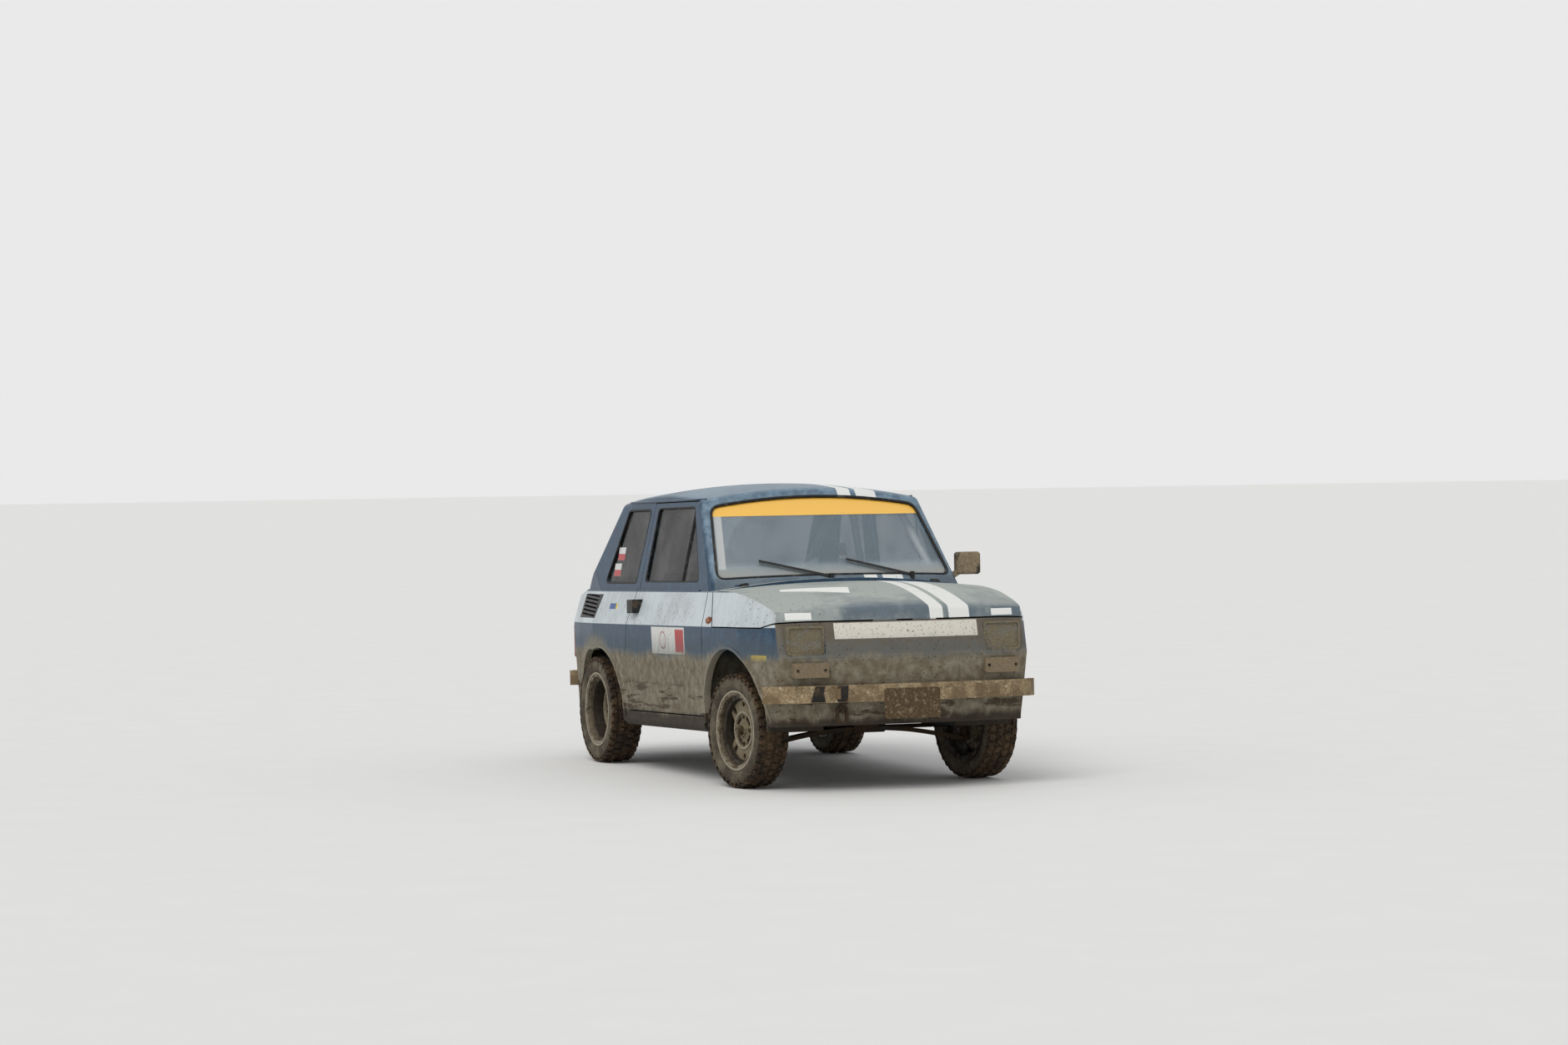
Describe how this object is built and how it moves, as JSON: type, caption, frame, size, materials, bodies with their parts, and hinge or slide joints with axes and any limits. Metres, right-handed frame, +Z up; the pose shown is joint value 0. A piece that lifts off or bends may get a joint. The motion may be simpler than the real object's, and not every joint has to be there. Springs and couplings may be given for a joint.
{
  "type": "rally car",
  "caption": "Small two-door rear-engined saloon prepared for rallying, with opening doors, bonnet and engine lid, steered front wheels and a bare hollow cabin.",
  "frame": {"origin": "on the floor, on the car's centre line, midway between the axles", "axes": "-Y towards the nose, +X towards the car's left, +Z up"},
  "size_m": [1.496, 3.0597, 1.3799],
  "materials": {
    "body_paint": "faded blue paint under dried mud",
    "roof_paint": "faded dark blue paint",
    "window_glass": "clear, dusty",
    "lamp_glass": "lamp under dried mud",
    "amber_lens": "amber lens under dried mud",
    "red_lens": "red lens",
    "black_plastic": "matt black",
    "muddy_plastic": "matt, under dried mud",
    "dark_steel": "muddy dark steel",
    "cast_metal": "rough casting, muddy",
    "cage_paint": "white gloss tube",
    "seat_fabric": "black cloth",
    "wheel_paint": "grey steel, chipped and muddy",
    "tyre_rubber": "muddy rubber"
  },
  "bodies": {
    "body": {"floor_pan": "body_paint", "nose_panel": "body_paint", "front_wing_left": "body_paint", "front_wing_right": "body_paint", "windscreen_frame": "roof_paint", "roof_panel": "roof_paint", "side_frame_left": "body_paint", "side_frame_right": "body_paint", "tail_panel": "body_paint", "side_louvres": "black_plastic", "windscreen": "window_glass", "rear_window": "window_glass", "quarter_windows": "window_glass", "headlamps": "lamp_glass", "front_indicators": "amber_lens", "tail_lamps": "red_lens", "front_bumper": "muddy_plastic", "rear_bumper": "muddy_plastic", "number_plate": "muddy_plastic", "tow_eye": "dark_steel", "dashboard": "black_plastic", "seats": "seat_fabric", "roll_cage": "cage_paint", "wipers": "black_plastic", "engine_block": "cast_metal", "gearbox": "cast_metal", "drive_shafts": "dark_steel", "silencer": "dark_steel", "rear_suspension": "dark_steel", "front_suspension": "dark_steel", "steering_rack": "dark_steel"},
    "bonnet": {"bonnet": "body_paint"},
    "engine_lid": {"engine_lid": "body_paint"},
    "door_left": {"door_left": "body_paint", "door_glass_left": "window_glass", "door_handle_left": "black_plastic", "mirror_left": "muddy_plastic"},
    "door_right": {"door_right": "body_paint", "door_glass_right": "window_glass", "door_handle_right": "black_plastic"},
    "steering_wheel": {"steering_wheel": "black_plastic"},
    "track_rod": {"track_rod": "dark_steel"},
    "knuckle_left": {"knuckle_left": "dark_steel"},
    "knuckle_right": {"knuckle_right": "dark_steel"},
    "wheel_front_left": {"rim_front_left": "wheel_paint", "tyre_front_left": "tyre_rubber"},
    "wheel_front_right": {"rim_front_right": "wheel_paint", "tyre_front_right": "tyre_rubber"},
    "wheel_rear_left": {"rim_rear_left": "wheel_paint", "tyre_rear_left": "tyre_rubber"},
    "wheel_rear_right": {"rim_rear_right": "wheel_paint", "tyre_rear_right": "tyre_rubber"}
  },
  "joints": [
    {"name": "steer_left", "type": "hinge", "parent": "body", "child": "knuckle_left", "pos_m": [0.508, -0.92, 0.264], "axis": [0, 0.0244, 0.9997], "range_deg": [-40.5, 25.5]},
    {"name": "steer_right", "type": "hinge", "parent": "body", "child": "knuckle_right", "pos_m": [-0.508, -0.92, 0.264], "axis": [0, 0.0244, 0.9997], "range_deg": [-40.5, 25.5]},
    {"name": "spin_front_left", "type": "hinge", "parent": "knuckle_left", "child": "wheel_front_left", "pos_m": [0.57046, -0.91178, 0.2638], "axis": [0.9914, 0.1305, -0.0032], "continuous": true},
    {"name": "spin_front_right", "type": "hinge", "parent": "knuckle_right", "child": "wheel_front_right", "pos_m": [-0.57046, -0.92822, 0.2642], "axis": [0.9914, 0.1305, -0.0032], "continuous": true},
    {"name": "spin_rear_left", "type": "hinge", "parent": "body", "child": "wheel_rear_left", "pos_m": [0.6015, 0.92, 0.264], "axis": [1, 0, 0], "continuous": true},
    {"name": "spin_rear_right", "type": "hinge", "parent": "body", "child": "wheel_rear_right", "pos_m": [-0.6015, 0.92, 0.264], "axis": [1, 0, 0], "continuous": true},
    {"name": "steering_column", "type": "hinge", "parent": "body", "child": "steering_wheel", "pos_m": [0.29, -0.15853, 0.78763], "axis": [0, 0.9361, 0.3518], "range_deg": [-648, 408]},
    {"name": "track_rod_slide", "type": "slide", "parent": "body", "child": "track_rod", "axis": [1, 0, 0], "range_m": [-0.04646, 0.07379]},
    {"name": "door_left_hinge", "type": "hinge", "parent": "body", "child": "door_left", "pos_m": [0.684, -0.63376, 0.6612], "axis": [0, -0.0244, -0.9997], "range_deg": [0, 62]},
    {"name": "door_right_hinge", "type": "hinge", "parent": "body", "child": "door_right", "pos_m": [-0.684, -0.63376, 0.6612], "axis": [0, 0.0244, 0.9997], "range_deg": [0, 62]},
    {"name": "bonnet_hinge", "type": "hinge", "parent": "body", "child": "bonnet", "pos_m": [0, -1.43177, 0.77283], "axis": [1, 0, 0], "range_deg": [0, 68]},
    {"name": "engine_lid_hinge", "type": "hinge", "parent": "body", "child": "engine_lid", "pos_m": [0, 1.33398, 0.83118], "axis": [1, 0, 0], "range_deg": [0, 60]}
  ],
  "couplings": [
    {"joint": "steer_right", "follows": "steer_left", "ratio": 1},
    {"joint": "steering_column", "follows": "steer_left", "ratio": 16},
    {"joint": "track_rod_slide", "follows": "steer_left", "m_per_rad": -0.1044}
  ]
}
